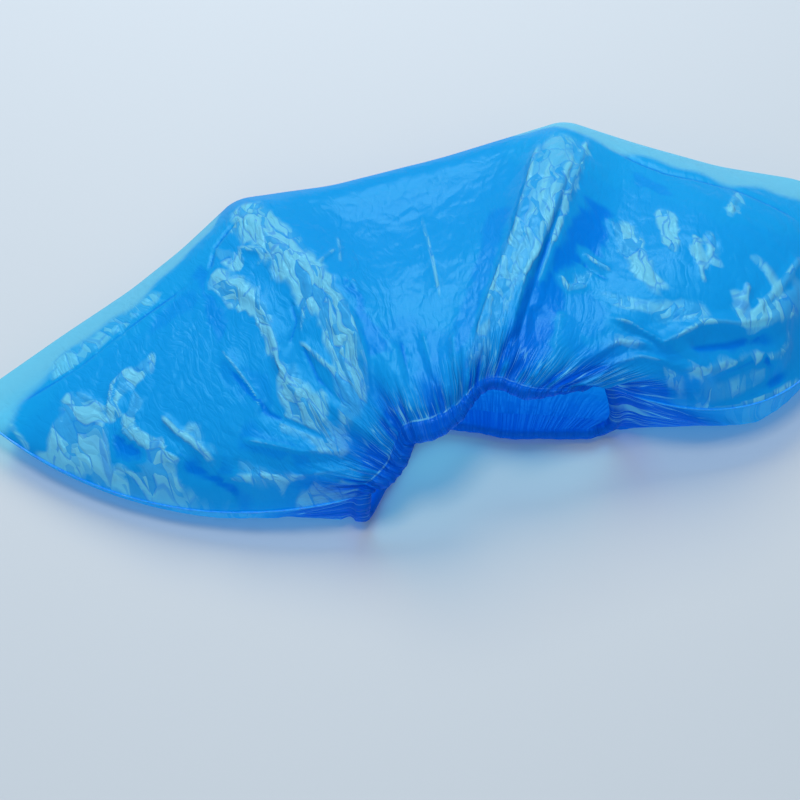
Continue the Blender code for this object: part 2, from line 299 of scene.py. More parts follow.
def film_points(around, down):
    """Places on the smooth film. Around runs 0 to 1 along the top film and 1 to 2 back
    underneath, and down from the sole fold to the mouth."""
    around = around % 2.0
    on_top = around <= 1.0
    along = side_share(around)
    mouth = mouth_points(around)
    sole_x, sole_y = rounded(SOLE, 1, along) * COVER_LENGTH, rounded(SOLE, 2, along) * COVER_DEPTH
    sole = np.stack([sole_x, sole_y], axis=1)
    across = mouth[:, :2] - sole
    to_end = np.stack([-across[:, 1], across[:, 0]], axis=1)
    to_end *= (np.where(along < 0.5, -1.0, 1.0) / np.linalg.norm(to_end, axis=1))[:, None]
    lean = 1.0 + smooth(BOW, 2, along) * (2 * down - 1)
    bow = smooth(BOW, 1, along) * 4 * down * (1 - down) * lean
    belly = np.where(along < 0.5, smooth(BELLY, 1, down), smooth(BELLY, 2, down))
    bow = bow + np.where(on_top, 0.0, belly * hump(end_distance(along)))
    plan = sole + across * down[:, None] + to_end * (bow * COVER_DEPTH)[:, None]
    edge = EDGE_ROUNDING / COVER_DEPTH
    power = np.where(on_top, TOP_EDGE_POWER, UNDER_EDGE_POWER)
    end_rise = swell(end_distance(along), 1.0, power)
    rise = end_rise * swell(down, edge, power)
    level = weld_height(along, down)
    height = np.where(on_top, top_height(along, down, mouth[:, 2]), mouth[:, 2] * gathered(down))
    height = level + (height - level) * rise
    last = weld_height(along, np.ones_like(down))
    height += (mouth[:, 2] - last) * (1.0 - end_rise) * gathered(down)
    return np.stack([plan[:, 0], plan[:, 1] + STOOD_OVER, height], axis=1)


def film_normals(around, down):
    """The directions out of the bag."""
    start = np.clip(down - STEP, STEP, 1.0 - 2 * STEP)
    here = np.maximum(down, STEP)
    along = film_points(around + STEP, here) - film_points(around - STEP, here)
    onward = film_points(around, start + 2 * STEP) - film_points(around, start)
    return of_length_one(np.cross(onward, along))


def ways_round_the_hem(around, ways):
    """The directions in which the hem turns on from the mouth's edge."""
    run = mouth_points(around + STEP) - mouth_points(around - STEP)
    return of_length_one(np.cross(run, ways))


# The camera, in metres, degrees and mm, and its square picture's width in pixels. The runs of the folds and
# tones below are places in this picture, chosen one by one.
CAMERA_PLACE = (-0.01615, -0.3431, 0.4945)
CAMERA_TILT = 32.0
CAMERA_LENS = 71.5
SENSOR_WIDTH = 36.0
PICTURE_WIDTH = 800

# Creases and folds of the top film, each along a run of places. Heights stand out of the bag,
# or into it below nought, and the widths run from the crest towards the toe and the heel, in mm.
FOLDS = (
    # height, toe_width, heel_width, run of (x, y) in the picture
    (2.2, 11, 4, ((237, 212), (285, 255), (322, 283), (350, 320), (366, 362), (371, 398))),
    (1.3, 3, 9, ((232, 247), (266, 253), (293, 267), (318, 286), (304, 310), (302, 333))),
    (1.7, 4, 9, ((209, 273), (232, 287), (260, 307), (272, 333), (278, 361), (287, 384), (312, 416))),
    (-0.9, 1.6, 1.6, ((237, 217), (215, 247), (209, 272))),
    (0.9, 2.5, 4, ((299, 341), (333, 370), (358, 410))),
    (-0.9, 2, 3, ((302, 344), (318, 379), (345, 407))),
    (0.8, 2, 3, ((340, 352), (352, 385), (360, 412))),
    (0.8, 3, 2, ((318, 300), (336, 330), (347, 360))),
    (0.9, 3, 3, ((282, 361), (300, 392), (330, 425))),
    (-0.8, 2, 2, ((290, 300), (296, 322), (288, 345))),
    (-0.9, 1.6, 4, ((0, 407), (28, 398), (61, 377), (86, 361), (122, 331), (153, 309), (190, 283))),
    (0.9, 2, 6, ((57, 419), (55, 450))),
    (0.9, 2.5, 2.5, ((66, 395), (98, 422))),
    (0.9, 2, 3, ((67, 413), (107, 436))),
    (0.8, 2, 3, ((75, 392), (107, 410))),
    (1.0, 3, 5, ((130, 366), (113, 386), (110, 404), (122, 416))),
    (1.2, 3, 6, ((141, 401), (124, 430), (162, 456), (184, 461))),
    (-1.4, 5, 7, ((113, 438), (138, 453))),
    (1.2, 3, 3, ((159, 416), (178, 432), (190, 441), (214, 462))),
    (-1.3, 6, 8, ((184, 463), (239, 493))),
    (0.9, 2, 3, ((32, 456), (61, 462), (98, 471), (132, 493))),
    (0.9, 2, 3, ((116, 462), (141, 478), (155, 493))),
    (0.9, 2, 3, ((130, 458), (147, 471), (184, 490))),
    (0.7, 2, 2, ((9, 422), (31, 450))),
    (1.1, 5, 5, ((222, 350), (250, 385), (262, 410))),
    (-1.2, 5, 7, ((232, 370), (268, 412), (330, 440))),
    (1.2, 4, 4, ((240, 440), (300, 452), (360, 452))),
    (1.1, 4, 4, ((215, 478), (290, 478), (358, 468))),
    (0.5, 1.5, 1.5, ((338, 237), (341, 263))),
    (0.6, 1.5, 1.5, ((318, 263), (335, 249))),
    (0.5, 1.5, 1.5, ((346, 287), (353, 281), (359, 293))),
    (0.9, 4, 4, ((422, 330), (430, 360), (437, 395))),
    (-0.9, 4, 5, ((400, 340), (408, 372), (412, 400))),
    (0.9, 4, 4, ((452, 335), (455, 360), (460, 390))),
    (0.7, 6, 8, ((420, 215), (432, 260), (440, 300))),
    (1.3, 4, 9, ((538, 144), (530, 179), (517, 226), (501, 269), (486, 309), (474, 346))),
    (1.7, 9, 3, ((575, 153), (556, 202), (538, 251), (526, 271), (515, 314), (509, 346))),
    (1.1, 2, 3, ((589, 138), (578, 168), (562, 217), (547, 255), (535, 291))),
    (-1.4, 2.5, 3, ((567, 196), (547, 248), (538, 278), (524, 320), (517, 352))),
    (0.5, 1.5, 2, ((552, 160), (541, 195), (525, 240))),
    (0.5, 1.5, 2, ((560, 175), (546, 215), (530, 262), (512, 310))),
    (1.2, 3, 3, ((584, 254), (610, 272))),
    (-0.8, 1.6, 2, ((582, 263), (607, 280))),
    (1.0, 2, 3, ((562, 275), (567, 288), (587, 285))),
    (0.9, 3, 5, ((608, 217), (622, 240), (640, 262), (652, 285))),
    (0.8, 2, 3, ((660, 217), (673, 252))),
    (0.7, 2, 2, ((695, 234), (704, 284))),
    (0.7, 2, 2, ((710, 234), (712, 259))),
    (0.7, 2, 2, ((729, 211), (737, 196))),
    (1.0, 3, 3, ((739, 322), (748, 282))),
    (1.2, 3, 3, ((750, 320), (783, 284), (800, 257))),
    (1.2, 3, 3, ((752, 320), (800, 292))),
    (-0.9, 1.6, 4, ((600, 142), (618, 152), (666, 173), (733, 188), (764, 202), (800, 223))),
    (2.4, 4, 4, ((609, 318), (632, 326), (662, 343), (704, 324), (739, 326), (777, 320), (800, 297))),
    (-2.0, 7, 7, ((690, 350), (730, 345), (772, 338))),
    (1.9, 3, 4, ((676, 370), (714, 372), (752, 360), (779, 353), (790, 332))),
    (-1.2, 2, 2, ((710, 381), (752, 362), (773, 360))),
    (1.6, 3, 3, ((695, 418), (714, 424), (743, 408), (771, 397), (800, 378))),
    (-1.2, 2, 2, ((700, 411), (740, 400), (790, 370))),
    (1.0, 2, 2, ((614, 416), (650, 418), (687, 416))),
    (1.0, 2, 2, ((634, 424), (665, 428), (695, 429))),
    (0.9, 2, 2, ((650, 400), (690, 397))),
    (1.6, 4, 4, ((565, 385), (585, 362), (620, 340), (655, 345))),
    (1.3, 3, 3, ((590, 385), (610, 365), (640, 357), (672, 364))),
    (-1.6, 8, 8, ((535, 300), (540, 335), (545, 370))),
    (1.0, 5, 5, ((560, 310), (556, 340), (552, 372))),
)

# Where the film is painted paler, partly because it is crumpled or thin and partly as painted highlight
# where its facets catch the light, or deeper, below nought, partly because it lies double and partly as
# painted shade in valleys and pockets. The reach is in mm, and the runs are as above.
TONE_AND_LIGHT_PATCHES = (
    # tone, reach, run of (x, y) in the picture
    (0.95, 9, ((246, 216), (290, 262), (318, 288))),
    (1.0, 8, ((330, 300), (345, 350), (352, 395))),
    (0.7, 6, ((285, 385), (318, 410))),
    (0.9, 4.5, ((214, 283), (240, 296), (262, 312))),
    (0.8, 3.5, ((262, 318), (280, 352))),
    (0.8, 3, ((214, 250), (240, 262))),
    (0.5, 5, ((60, 365), (100, 340), (150, 300))),
    (0.9, 6, ((62, 440), (100, 452))),
    (0.7, 3, ((68, 400), (98, 420))),
    (0.8, 3.5, ((148, 365), (125, 385), (116, 408))),
    (0.9, 3, ((136, 402), (124, 430), (160, 454))),
    (0.6, 3.5, ((150, 462), (172, 476))),
    (0.6, 4, ((190, 438), (212, 460))),
    (0.5, 4, ((110, 480), (170, 492), (230, 500))),
    (0.5, 4, ((285, 425), (345, 445))),
    (0.7, 5, ((300, 500), (350, 494))),
    (0.6, 4, ((240, 470), (300, 478))),
    (0.45, 9, ((562, 142), (540, 200), (520, 260))),
    (0.5, 7, ((512, 265), (492, 320), (478, 350))),
    (0.5, 2, ((585, 150), (560, 217), (540, 275))),
    (0.9, 3, ((566, 285), (590, 270))),
    (0.8, 3.5, ((588, 258), (606, 270))),
    (0.75, 5, ((620, 228), (640, 262), (648, 280))),
    (0.8, 2.5, ((664, 214), (672, 248))),
    (0.6, 2, ((697, 240), (705, 280))),
    (0.5, 2, ((711, 236), (714, 262))),
    (0.5, 2, ((740, 196), (730, 215))),
    (0.5, 4, ((612, 298), (650, 312), (700, 312))),
    (0.6, 4, ((742, 300), (746, 320))),
    (0.6, 4, ((765, 268), (776, 290))),
    (0.7, 2.5, ((752, 322), (800, 290))),
    (0.6, 4, ((700, 395), (740, 385))),
    (0.5, 4, ((722, 412), (765, 392))),
    (0.6, 2.5, ((670, 378), (720, 378), (760, 362))),
    (0.4, 3, ((595, 345), (640, 338))),
    (-0.6, 5, ((345, 285), (360, 320), (378, 350))),
    (-0.4, 10, ((400, 330), (440, 350))),
    (-0.7, 5, ((118, 440), (138, 455))),
    (-0.5, 7, ((190, 462), (240, 490))),
    (-0.4, 6, ((232, 365), (268, 400))),
    (-0.5, 6, ((250, 440), (300, 462))),
    (-1.0, 6, ((560, 258), (536, 310), (522, 355))),
    (-0.9, 6, ((602, 215), (572, 262))),
    (-0.5, 7, ((498, 215), (478, 290), (460, 340))),
    (-0.4, 8, ((585, 300), (580, 345))),
    (-0.25, 7, ((700, 345), (745, 342), (775, 330))),
    (-0.35, 5, ((640, 330), (665, 352))),
    (-0.5, 4, ((200, 270), (220, 330))),
    (-0.4, 5, ((160, 320), (190, 300))),
    (-0.5, 4, ((640, 180), (662, 190))),
)

# The same for the under film, which the camera doesn't see: painted light, paler along both ends, where the
# film faces down and away from the light.
UNDER_PAINTED_LIGHT = (
    # tone, reach, run of (along, down)
    (0.3, 14, ((0.0, 0.0), (0.0, 0.8))),
    (0.3, 14, ((1.0, 0.0), (1.0, 0.8))),
)

# Half the width of a crest line, in mm; these lines are painted highlight on ridges and painted shade in
# dents.
LINE_WIDTH = 1.3

# How much narrower the gathered film lies at the mouth, in mm, and how late it narrows.
NARROWING = 285.0
NARROWING_POWER = 1.5

# The counts of places, along and down, at which the camera's picture of the film is looked up.
SEEN_GRID = (321, 161)

# How steep folds are, how fast they fade at both ends of their runs, and how little is left there.
FOLD_POWER = 1.5
FADE_RATE = 6
FADE_START = 0.2

# How full a tone is in the middle of its patch, and how far its edge wanders with the facets.
TONE_HEART = 1.4
TONE_JAGS = 3.5

# Blender's vector noise takes the clock's seed unless it is given one.
NOISE_SEED = 1

# The crumpled film's facets, in mm: their cell and height, and the finest ones.
FACETS = ((19.0, 1.5), (8.5, 0.8))
FINE_FACETS = ((4.2, 0.4),)
SMOOTH_SHARE = 0.26

# The pleats' reach down the side, their widths over their count and their heights in mm.
LONG_PLEATS = 15
LONG_PLEAT_SIZES = ((0.16, 0.50), (0.7, 1.3), (0.9, 2.0))
SHORT_PLEAT_SIZES = ((0.07, 0.20), (0.8, 1.5), (0.9, 1.9))
UNDER_PLEATING = 0.35

# The hem's roll and the groove before it: their heights in mm, and their places and slopes in
# shares down a side.
HEM_ROLL = 0.8
ROLL_SLOPE = 0.012
HEM_GROOVE = 0.9
GROOVE_BEFORE = 0.03
GROOVE_SLOPE = 0.025
GROOVE_AFTER = 0.01

# Divisions where the film turns over at an edge, and the gap left above the table, in metres.
EDGE_STEPS = 14
TABLE_GAP = 0.0003

# The elastic strand: its divisions, and its wound yarns, their turns and how far they stand out.
STRAND_STEPS = 900
STRAND_SIDES = 12
YARNS = 3
YARN_TURNS = 60
YARN_RIPPLE = 0.07

# The end seams: their divisions, where they end, how lumpy they are, over how many divisions a
# lump runs and the ends taper, and how flat they are.
SEAM_STEPS = 340
SEAM_SIDES = 10
SEAM_END = 0.97
SEAM_LUMPS = 0.35
LUMP_STEPS = 9
TAPER_STEPS = 6
TAPER_START = 0.25
SEAM_LIFT = 0.7
SEAM_FLATNESS = (0.9, 0.45)

# The crinkles' cells to the metre: round the mouth, and large and small ones all over.
GATHER_CELLS = 300.0
LARGE_CELLS = 185.0
SMALL_CELLS = 460.0

LIGHTS = (
    # name, place, size, colour
    ("key", (-0.05, 0.08, 1.3), 0.4, (0.94, 0.97, 1.0)),
    ("back", (-0.15, 1.0, 1.0), 0.8, (0.94, 0.97, 1.0)),
    ("fill", (-0.2, -1.3, 0.42), 1.0, (0.92, 0.96, 1.0)),
)
SKY_COLOUR = (0.86, 0.93, 1.0)

# Where the turned hem begins, down each side.
HEM_TOPS = (
    # along, down
    (0.00, 0.975),
    (0.30, 0.968),
    (0.42, 0.966),
    (0.52, 0.978),
    (0.60, 0.986),
    (1.00, 0.986),
)

# Where the dark layers of gathered film begin, down each side.
GATHER_TOPS = (
    # along, down
    (0.00, 0.92),
    (0.20, 0.88),
    (0.28, 0.87),
    (0.40, 0.91),
    (0.50, 0.94),
    (0.72, 0.93),
    (0.78, 0.91),
    (0.84, 0.86),
    (0.92, 0.85),
    (1.00, 0.86),
)

# How far down a side the film along the sole fold is painted paler: partly clearer film in one layer,
# partly painted light shining through from behind.
SOLE_STRIPS = (
    # along, down
    (0.00, 0.130),
    (0.04, 0.100),
    (0.10, 0.085),
    (0.18, 0.080),
    (0.24, 0.070),
    (0.28, 0.050),
    (0.32, 0.000),
    (0.59, 0.000),
    (0.63, 0.060),
    (0.70, 0.100),
    (0.76, 0.110),
    (0.84, 0.125),
    (0.92, 0.150),
    (1.00, 0.190),
)


def flat_places(along, down):
    """Places on the film laid flat, in mm, drawn together towards the mouth as it is."""
    width = 1000 * FLAT_LENGTH - NARROWING * down**NARROWING_POWER
    return (along - 0.5) * width, down * 1000 * FLAT_DEPTH


def seen_places():
    """Places all over the top film that the camera sees, and where they are in its picture."""
    along, down = np.meshgrid(*(np.linspace(0.0, 1.0, count) for count in SEEN_GRID))
    along, down = along.ravel(), down.ravel()
    away = film_points(along, down) - np.array(CAMERA_PLACE)
    tilt = math.radians(CAMERA_TILT)
    depth = away[:, 1] * math.sin(tilt) - away[:, 2] * math.cos(tilt)
    rise = away[:, 1] * math.cos(tilt) + away[:, 2] * math.sin(tilt)
    picture = np.stack([away[:, 0], -rise], axis=1) / depth[:, None]
    picture = (0.5 + picture * CAMERA_LENS / SENSOR_WIDTH) * PICTURE_WIDTH
    seen = (film_normals(along, down) * away).sum(axis=1) < 0
    return np.stack([along, down], axis=1)[seen], picture[seen]


def with_runs(rows):
    """A table's rows, each with the run of places on the film that its picture places show."""
    places, picture = seen_places()
    for row in rows:
        nearest = [np.hypot(*(picture - spot).T).argmin() for spot in row[-1]]
        yield row, places[nearest]


def run_distance(run, along, down):
    """How far places are from a run of places, how far along it, and if they are heelward."""
    x, y = flat_places(along, down)
    run_x, run_y = flat_places(*np.array(run).T)
    nearest = np.full_like(x, 1e9)
    part, heelward = np.zeros_like(x), np.zeros(len(x), dtype=bool)
    for spot in range(len(run) - 1):
        line_x, line_y = run_x[spot + 1] - run_x[spot], run_y[spot + 1] - run_y[spot]
        away_x, away_y = x - run_x[spot], y - run_y[spot]
        share = np.clip((away_x * line_x + away_y * line_y) / (line_x**2 + line_y**2), 0.0, 1.0)
        away = np.hypot(away_x - line_x * share, away_y - line_y * share)
        closer = away < nearest
        nearest = np.where(closer, away, nearest)
        part = np.where(closer, (spot + share) / (len(run) - 1), part)
        side = (line_x * away_y - line_y * away_x) * (1 if line_y >= 0 else -1) < 0
        heelward = np.where(closer, side, heelward)
    return nearest, part, heelward


def fold_relief(side, along, down):
    """How far the table's folds stand out of the bag or into it, in mm, and their crest lines: above nought
    on a ridge, as painted highlight, and below it in a dent, as painted shade."""
    ridges, dents, lines = np.zeros_like(along), np.zeros_like(along), np.zeros_like(along)
    for (height, toe_width, heel_width, _), run in with_runs(FOLDS if side == "top" else ()):
        away, part, heelward = run_distance(run, along, down)
        share = np.maximum(0.0, 1.0 - away / np.where(heelward, heel_width, toe_width))
        fading = ease(FADE_RATE * part + FADE_START) * ease(FADE_RATE * (1 - part) + FADE_START)
        stands = height * share**FOLD_POWER * fading
        ridges, dents = np.maximum(ridges, stands), np.minimum(dents, stands)
        line = np.maximum(0.0, 1.0 - away / LINE_WIDTH) * fading * min(1.0, abs(height))
        lines = np.where(line > np.abs(lines), line * np.sign(height), lines)
    return ridges + dents, lines


def patch_tones_and_light(side, along, down, jagged):
    """How much paler or deeper the film is painted at each place, with jagged edges: paler partly as
    painted highlight, deeper partly as painted shade.
    """
    pale, deep = np.zeros_like(along), np.zeros_like(along)
    rows = with_runs(TONE_AND_LIGHT_PATCHES) if side == "top" else [(row, row[-1]) for row in UNDER_PAINTED_LIGHT]
    for (tone, reach, _), run in rows:
        away, _, _ = run_distance(run, along, down)
        share = tone * ease(TONE_HEART - (away + TONE_JAGS * jagged) / reach)
        pale, deep = np.maximum(pale, share), np.minimum(deep, share)
    return pale + deep


def crumple_relief(along, down, seed, sizes):
    """Flat facets between sharp creases, in mm: one layer for each (cell, height)."""
    x, y = flat_places(along, down)
    moved = np.zeros_like(x)
    for layer, (cell, height) in enumerate(sizes):
        for spot in range(len(x)):
            place = Vector((x[spot] / cell, y[spot] / cell, seed + 7.3 * layer))
            place += 0.35 * noise.noise_vector(place * 0.6)
            near = noise.voronoi(place)[0]
            moved[spot] += height * (min(near[1], 1.2) ** 2 - near[0] ** 2)
    return moved


def pleats(seed, count, reaches, widths, heights):
    """A seeded table of pleats: where each meets the mouth, how it wanders, its reach, width
    and height."""
    chance = np.random.default_rng(seed)
    rows = []
    for spot in range(count):
        along = (spot + chance.uniform(0.1, 0.9)) / count
        rows.append((
            along,
            chance.normal(0.0, 0.02),
            chance.uniform(*reaches),
            chance.uniform(*widths) / count,
            chance.uniform(*heights) * (1 if spot % 2 else -1),
        ))
    return rows


def pleat_relief(rows, along, down):
    """How far pleats stand out of the bag or into it, in mm."""
    moved = np.zeros_like(along)
    for centre, wander, reach, width, height in rows:
        run = np.clip((down - 1.0 + reach) / reach, 0.0, 1.0)
        away = np.abs(along - centre - wander * (1.0 - run) ** 2) / (width * (0.55 + 0.45 * run))
        moved += height * ease(run * 1.3) * np.maximum(0.0, 1.0 - away) ** 1.4
    return moved


def sole_strip(along, down):
    """One on the pale strip along the sole fold, nought off it, softer at its lower side."""
    width = np.maximum(smooth(SOLE_STRIPS, 1, along), 0.0)
    edge = width * (1.0 + 0.10 * np.sin(along * 47.0) + 0.07 * np.sin(along * 113.0 + 1.0))
    return ease((edge - down) / (0.006 + 0.2 * width)) * ease(width / 0.03)


def gather_depth(side, along, down):
    """How deep in gathered layers the film is: nought on smooth film, one at the hem. On the under film it
    reaches wider, partly as painted shade inside the bag by the mouth.
    """
    if side == "under":
        corners = ease((np.abs(along - 0.5) - 0.40) / 0.04)
        return (0.5 + 0.42 * corners) * ease((down - 0.72) / 0.22)
    layers = ease((down - smooth(GATHER_TOPS, 1, along)) / 0.05)
    return np.maximum(0.75 * gathered(down) ** 2, 0.95 * layers)


def crinkle_places(along, down, seed):
    """Places for the film's crinkles, in metres: aslant at the toe and heel, and warped. The
    last of the three is the warp alone, for the gathers."""
    x, y = flat_places(along, down)
    warp = np.zeros((len(x), 2))
    for spot in range(len(x)):
        place = Vector((x[spot], y[spot], 9.0 * seed))
        bend = noise.noise_vector(place * 0.06) + 0.5 * noise.noise_vector(place * 0.14)
        warp[spot] = bend[0], bend[1]
    slant = 0.35 * ease((along - 0.6) / 0.3) - 0.35 * (1.0 - ease(along / 0.45))
    across, along = (x + slant * y) * 0.001 + 0.004 * warp[:, 0], y * 0.001 + 0.004 * warp[:, 1]
    return across, along, 0.002 * warp[:, 0]


def settings():
    """The sizes that the panel shows."""
    return bpy.context.scene.shoe_cover


def film_relief(side, along, down):
    """How far the film stands out from its smooth shape, in metres, how much paler or deeper it is painted,
    partly as painted highlight and shade, how its pleats run, which also marks painted shade in their
    valleys, and where its hem is."""
    own = settings()
    seed = own.seed + (3 if side == "top" else 11)
    quiet = ease(np.minimum(along, 1.0 - along) / 0.018) * ease(down / 0.04)
    facets = crumple_relief(along, down, seed, FACETS)
    fine = crumple_relief(along, down, seed + 40, FINE_FACETS)
    facets, fine = facets - facets.mean(), fine - fine.mean()
    folds, lines = fold_relief(side, along, down)
    tone = patch_tones_and_light(side, along, down, facets)
    rough = SMOOTH_SHARE + (1.0 - SMOOTH_SHARE) * np.clip(tone, 0.0, 1.0)
    moved = folds + (facets + fine) * rough * own.crumple
    calm = 1.0 if side == "top" else UNDER_PLEATING
    long_rows = pleats(seed, LONG_PLEATS, *LONG_PLEAT_SIZES)
    short_rows = pleats(seed + 1, own.pleats_each_side, *SHORT_PLEAT_SIZES)
    pleating = pleat_relief(long_rows, along, down) + pleat_relief(short_rows, along, down)
    top = smooth(HEM_TOPS, 1, along)
    at_hem = 1.0 - 0.7 * ease((down - top + 0.035) / 0.03)
    roll = HEM_ROLL * ease((down - top) / ROLL_SLOPE)
    groove = ease((down - top + GROOVE_BEFORE) / GROOVE_SLOPE)
    roll -= HEM_GROOVE * groove * ease((top + GROOVE_AFTER - down) / ROLL_SLOPE)
    moved = moved * (1.0 - 0.8 * ease((down - 0.85) / 0.15))
    moved = moved + pleating * at_hem * own.pleat * calm + roll
    # The folds' crest lines are painted in: paler as painted highlight on ridges, deeper as painted shade
    # in dents.
    tone = tone + lines * (1.0 - gathered(down))
    # Below, the under film is painted deeper towards the mouth and its pleat values are set deep all along,
    # as painted shade inside the bag; on the top film the heel corner by the mouth is set deep as painted
    # shade too.
    if side == "under":
        tone = tone - 0.5 * ease((down - 0.72) / 0.2)
        pleating = np.where(np.abs(along - 0.5) > 0.42, -0.7, -2.0)
    else:
        pleating = pleating - 1.4 * ease((along - 0.93) / 0.05) * ease((down - 0.88) / 0.05)
    return moved * quiet * 0.001, tone, pleating * quiet, ease((down - top + 0.004) / 0.008)


def points_of(data):
    """The places of a mesh's vertices."""
    spots = np.zeros(3 * len(data.vertices))
    data.vertices.foreach_get("co", spots)
    return spots.reshape(-1, 3)


def grid_mesh(name, across, down):
    """A flat grid, with each vertex's share across and share down."""
    shape = bmesh.new()
    bmesh.ops.create_grid(shape, x_segments=across, y_segments=down, size=0.5)
    data = bpy.data.meshes.new(name)
    shape.to_mesh(data)
    shape.free()
    spots = points_of(data)
    column = np.rint((spots[:, 0] + 0.5) * across).astype(int)
    row = np.rint((spots[:, 1] + 0.5) * down).astype(int)
    return data, column, row


def put_points(data, points):
    """Moves a mesh's vertices."""
    data.vertices.foreach_set("co", points.ravel())
    data.update()


def put_uv(data, name, u, v):
    """A UV map from a value for each vertex."""
    layer = data.uv_layers.new(name=name)
    corners = np.zeros(len(data.loops), dtype=np.int32)
    data.loops.foreach_get("vertex_index", corners)
    layer.data.foreach_set("uv", np.stack([u[corners], v[corners]], axis=1).ravel())


def put_value(data, name, values):
    """A value for each vertex, for the materials."""
    layer = data.attributes.new(name, "FLOAT", "POINT")
    layer.data.foreach_set("value", np.asarray(values, dtype=float))


def face_outwards(data, ways):
    """Turns the whole sheet over if its faces look into the bag."""
    middle = data.polygons[len(data.polygons) // 2]
    way = Vector(ways[middle.vertices[0]])
    if middle.normal.dot(way) < 0:
        data.flip_normals()


def link_piece(name, data, finish):
    """The finished piece, smooth and with its material, riding on the cover."""
    data.materials.append(finish)
    data.shade_smooth()
    made = bpy.data.objects.new(name, data)
    bpy.context.scene.collection.objects.link(made)
    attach(made, "root")
    return made


def side_columns(count, at_end):
    """Shares along a side, closer together where it turns over at each end."""
    end = END_SHARE * (1 - np.cos(np.pi / 2 * np.arange(at_end) / at_end))
    inner = np.linspace(END_SHARE, 1 - END_SHARE, count - 2 * at_end + 1)
    return np.concatenate([end, inner, 1 - end[::-1]])


def side_rows(count, at_sole):
    """Shares down a side, closer together where it turns over at the sole fold."""
    edge = EDGE_ROUNDING / COVER_DEPTH
    first = edge * (1 - np.cos(np.pi / 2 * np.arange(at_sole) / at_sole))
    return np.concatenate([first, np.linspace(edge, 1.0, count - at_sole + 1)])


def film_side(name, side, finish):
    """One side of the film, from the sole fold to the mouth and in round the elastic."""
    noise.seed_set(NOISE_SEED)
    own = settings()
    alongs, downs = side_columns(own.columns, EDGE_STEPS), side_rows(own.rows, EDGE_STEPS)
    turns = np.linspace(0.0, math.pi, own.turn_steps + 1)[1:]
    data, column, row = grid_mesh(name, own.columns, own.rows + own.turn_steps + 2)
    along = alongs[column]
    around = along if side == "top" else 2.0 - along
    down = downs[np.minimum(row, own.rows)]
    ways = film_normals(around, down)
    moved, tone, pleating, hem = film_relief(side, along, down)
    points = film_points(around, down) + ways * moved[:, None]
    past = row - own.rows
    turned = past > 0
    turn = turns[np.clip(past - 1, 0, own.turn_steps - 1)]
    onward = ways_round_the_hem(around, ways)
    radius = own.hem_radius
    centre = film_points(around, down) - ways * radius
    swell_out = radius + moved * np.cos(turn / 2) ** 2
    way = ways * np.cos(turn)[:, None] + onward * np.sin(turn)[:, None]
    points[turned] = (centre + way * swell_out[:, None])[turned]
    inside = past > own.turn_steps
    back = 1.0 - HEM_SHARE * (past - own.turn_steps) / 2
    tucked = film_points(around, back) - ways * 2 * radius
    points[inside] = tucked[inside]
    points[:, 2] = np.maximum(points[:, 2], CAD_BOX[0].z + TABLE_GAP)
    put_points(data, points)
    put_uv(data, "film", along, down + np.where(turned, 0.02 * np.minimum(past, own.turn_steps), 0.0))
    crinkle_x, crinkle_y, bend = crinkle_places(along, down, own.seed)
    if side == "under":
        crinkle_x, crinkle_y = crinkle_y, crinkle_x
    put_uv(data, "crinkles", crinkle_x, crinkle_y)
    put_uv(data, "gathers", FLAT_LENGTH * along + bend, 0.05 * down)
    put_value(data, "tone", tone)
    # The pleat values, which the material also uses as a mask for painted shade in their valleys.
    put_value(data, "pleating", pleating)
    put_value(data, "gathered", gather_depth(side, along, down))
    put_value(data, "hem", hem if side == "top" else hem * 0.35)
    # A painted highlight along the upper edge of the hem roll, on the top film only.
    put_value(data, "rim", 4 * hem * (1.0 - hem) if side == "top" else np.zeros_like(down))
    # The strip along the sole fold: clearer film, and also painted light shining through from behind.
    put_value(data, "strip", sole_strip(along, down))
    face_outwards(data, ways)
    return link_piece(name, data, finish)


def tube_mesh(name, centres, outs, onwards, radii, sides):
    """A tube round a line of places: radii holds a radius for each place and side."""
    steps = len(centres) - 1
    data, column, row = grid_mesh(name, steps, sides)
    turn = 2 * math.pi * row / sides
    way = outs[column] * np.cos(turn)[:, None] + onwards[column] * np.sin(turn)[:, None]
    put_points(data, centres[column] + way * radii[column, row % sides][:, None])
    put_uv(data, "film", column / steps, row / sides)
    return data


def close_doubles(data):
    """Joins a tube's meeting edges and points its faces outwards."""
    shape = bmesh.new()
    shape.from_mesh(data)
    bmesh.ops.remove_doubles(shape, verts=shape.verts, dist=1e-6)
    bmesh.ops.holes_fill(shape, edges=shape.edges, sides=0)
    bmesh.ops.recalc_face_normals(shape, faces=shape.faces)
    shape.to_mesh(data)
    shape.free()


def elastic_strand(finish):
    """The elastic inside the hem: a round strand with the ripple of its wound yarns."""
    own = settings()
    around = np.linspace(0.0, 2.0, STRAND_STEPS + 1)
    down = np.ones_like(around)
    ways = film_normals(around, down)
    onward = ways_round_the_hem(around, ways)
    centres = film_points(around, down) - ways * own.hem_radius
    turn = np.arange(STRAND_SIDES)[None, :] / STRAND_SIDES
    twist = 2 * math.pi * (turn * YARNS + around[:, None] * YARN_TURNS)
    radii = own.elastic_radius * (1.0 + YARN_RIPPLE * np.cos(twist))
    data = tube_mesh("elastic_strand", centres, ways, onward, radii, STRAND_SIDES)
    close_doubles(data)
    made = link_piece("elastic_strand", data, finish)
    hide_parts("elastic_band")
    return made


